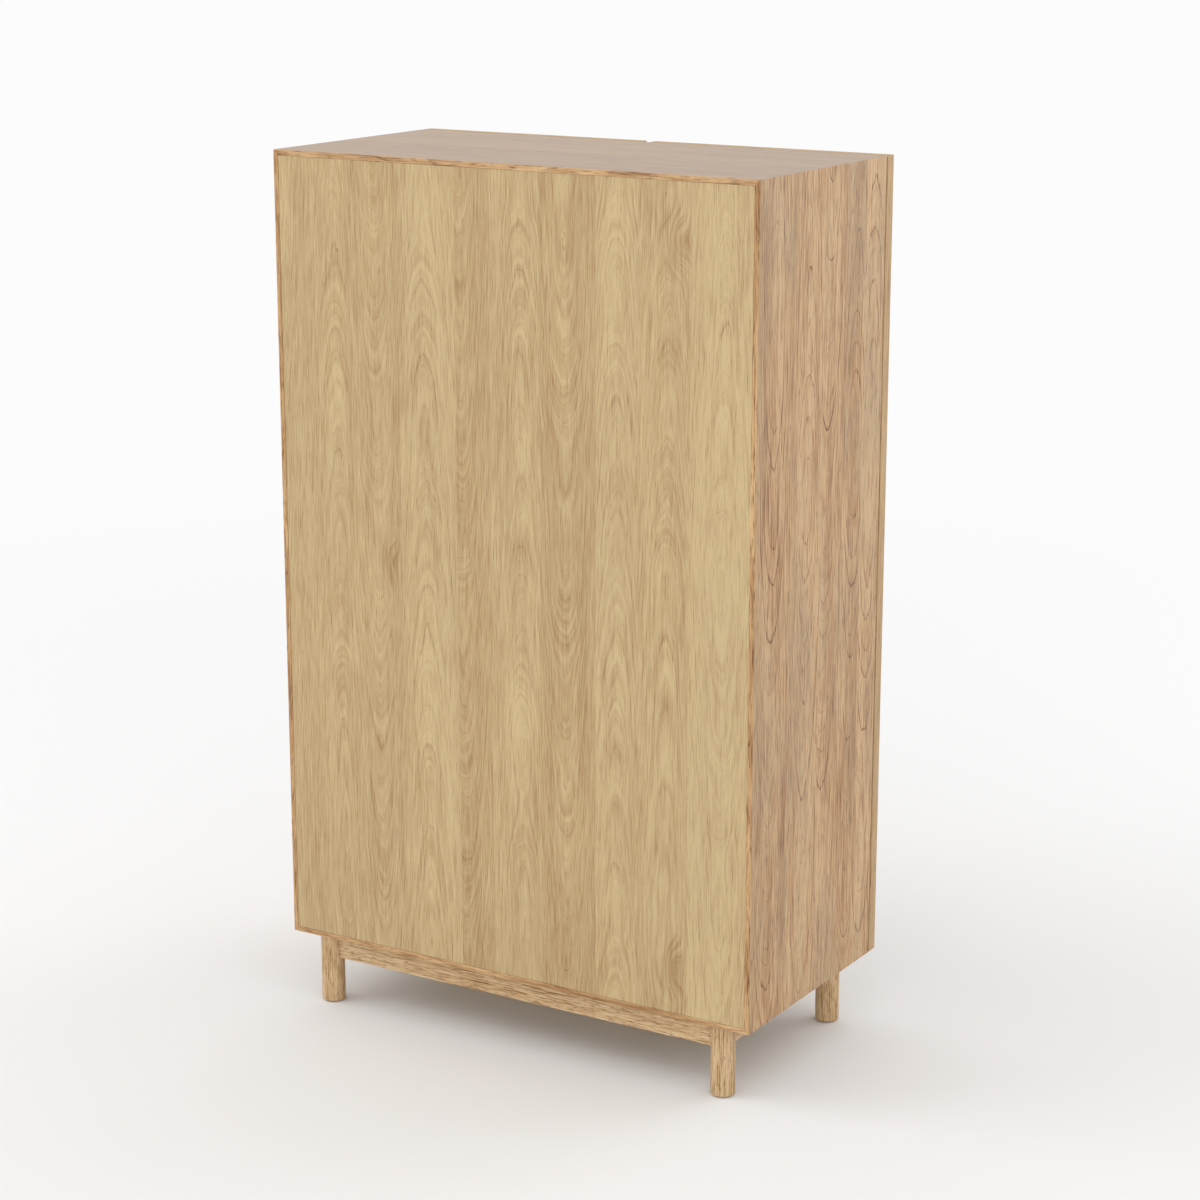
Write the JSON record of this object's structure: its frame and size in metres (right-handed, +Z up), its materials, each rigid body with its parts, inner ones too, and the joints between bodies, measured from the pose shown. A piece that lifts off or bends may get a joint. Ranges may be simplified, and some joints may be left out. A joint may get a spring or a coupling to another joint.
{
  "type": "louvred door cabinet",
  "caption": "Tall free-standing oak cabinet with louvred doors on concealed hinges, adjustable shelves either side of a divider, and a railed base on round legs.",
  "frame": {"origin": "on the floor, at the middle of the outline", "axes": "+Z up, doors face -Y, +X to the right as seen from the front"},
  "size_m": [0.8, 0.4, 1.31],
  "materials": {
    "oak_carcase": "oak veneer, matt lacquer",
    "oak_back": "oak veneer in matched leaves, matt lacquer",
    "oak_inside": "oak veneer, matt lacquer",
    "oak_base": "solid oak, matt lacquer",
    "oak_door": "solid oak, matt lacquer",
    "beech_joinery": "plain beech",
    "nickel_hardware": "nickel plated",
    "zinc_screws": "zinc plated",
    "nylon_glide": "moulded nylon",
    "clear_buffer": "clear soft plastic"
  },
  "bodies": {
    "carcase": {"arm_screws": "zinc_screws", "back_panel": "oak_back", "back_rail": "oak_base", "base_screws": "zinc_screws", "bottom_panel": "oak_carcase", "centre_divider": "oak_inside", "divider_dowels": "beech_joinery", "front_rail": "oak_base", "left_hinge_arms": "nickel_hardware", "left_hinge_plates": "nickel_hardware", "left_rail": "oak_base", "left_shelf_lower": "oak_inside", "left_shelf_middle": "oak_inside", "left_shelf_upper": "oak_inside", "left_side_panel": "oak_carcase", "leg_back_left": "oak_base", "leg_back_right": "oak_base", "leg_front_left": "oak_base", "leg_front_right": "oak_base", "leg_glides": "nylon_glide", "mitre_splines": "beech_joinery", "plate_screws": "zinc_screws", "right_hinge_arms": "nickel_hardware", "right_hinge_plates": "nickel_hardware", "right_rail": "oak_base", "right_shelf_lower": "oak_inside", "right_shelf_middle": "oak_inside", "right_shelf_upper": "oak_inside", "right_side_panel": "oak_carcase", "shelf_pins": "nickel_hardware", "top_panel": "oak_carcase"},
    "left_door": {"left_bottom_rail": "oak_door", "left_buffers": "clear_buffer", "left_cup_screws": "zinc_screws", "left_hinge_cups": "nickel_hardware", "left_hinge_pins": "nickel_hardware", "left_hinge_stile": "oak_door", "left_louvres": "oak_door", "left_meeting_stile": "oak_door", "left_top_rail": "oak_door"},
    "right_door": {"right_bottom_rail": "oak_door", "right_buffers": "clear_buffer", "right_cup_screws": "zinc_screws", "right_hinge_cups": "nickel_hardware", "right_hinge_pins": "nickel_hardware", "right_hinge_stile": "oak_door", "right_louvres": "oak_door", "right_meeting_stile": "oak_door", "right_top_rail": "oak_door"}
  },
  "joints": [
    {"name": "left_door_hinge", "type": "hinge", "parent": "carcase", "child": "left_door", "pos_m": [-0.3935, -0.1885, 0.71], "axis": [0, 0, -1], "range_deg": [0, 95]},
    {"name": "right_door_hinge", "type": "hinge", "parent": "carcase", "child": "right_door", "pos_m": [0.3935, -0.1885, 0.71], "axis": [0, 0, 1], "range_deg": [0, 95]}
  ]
}
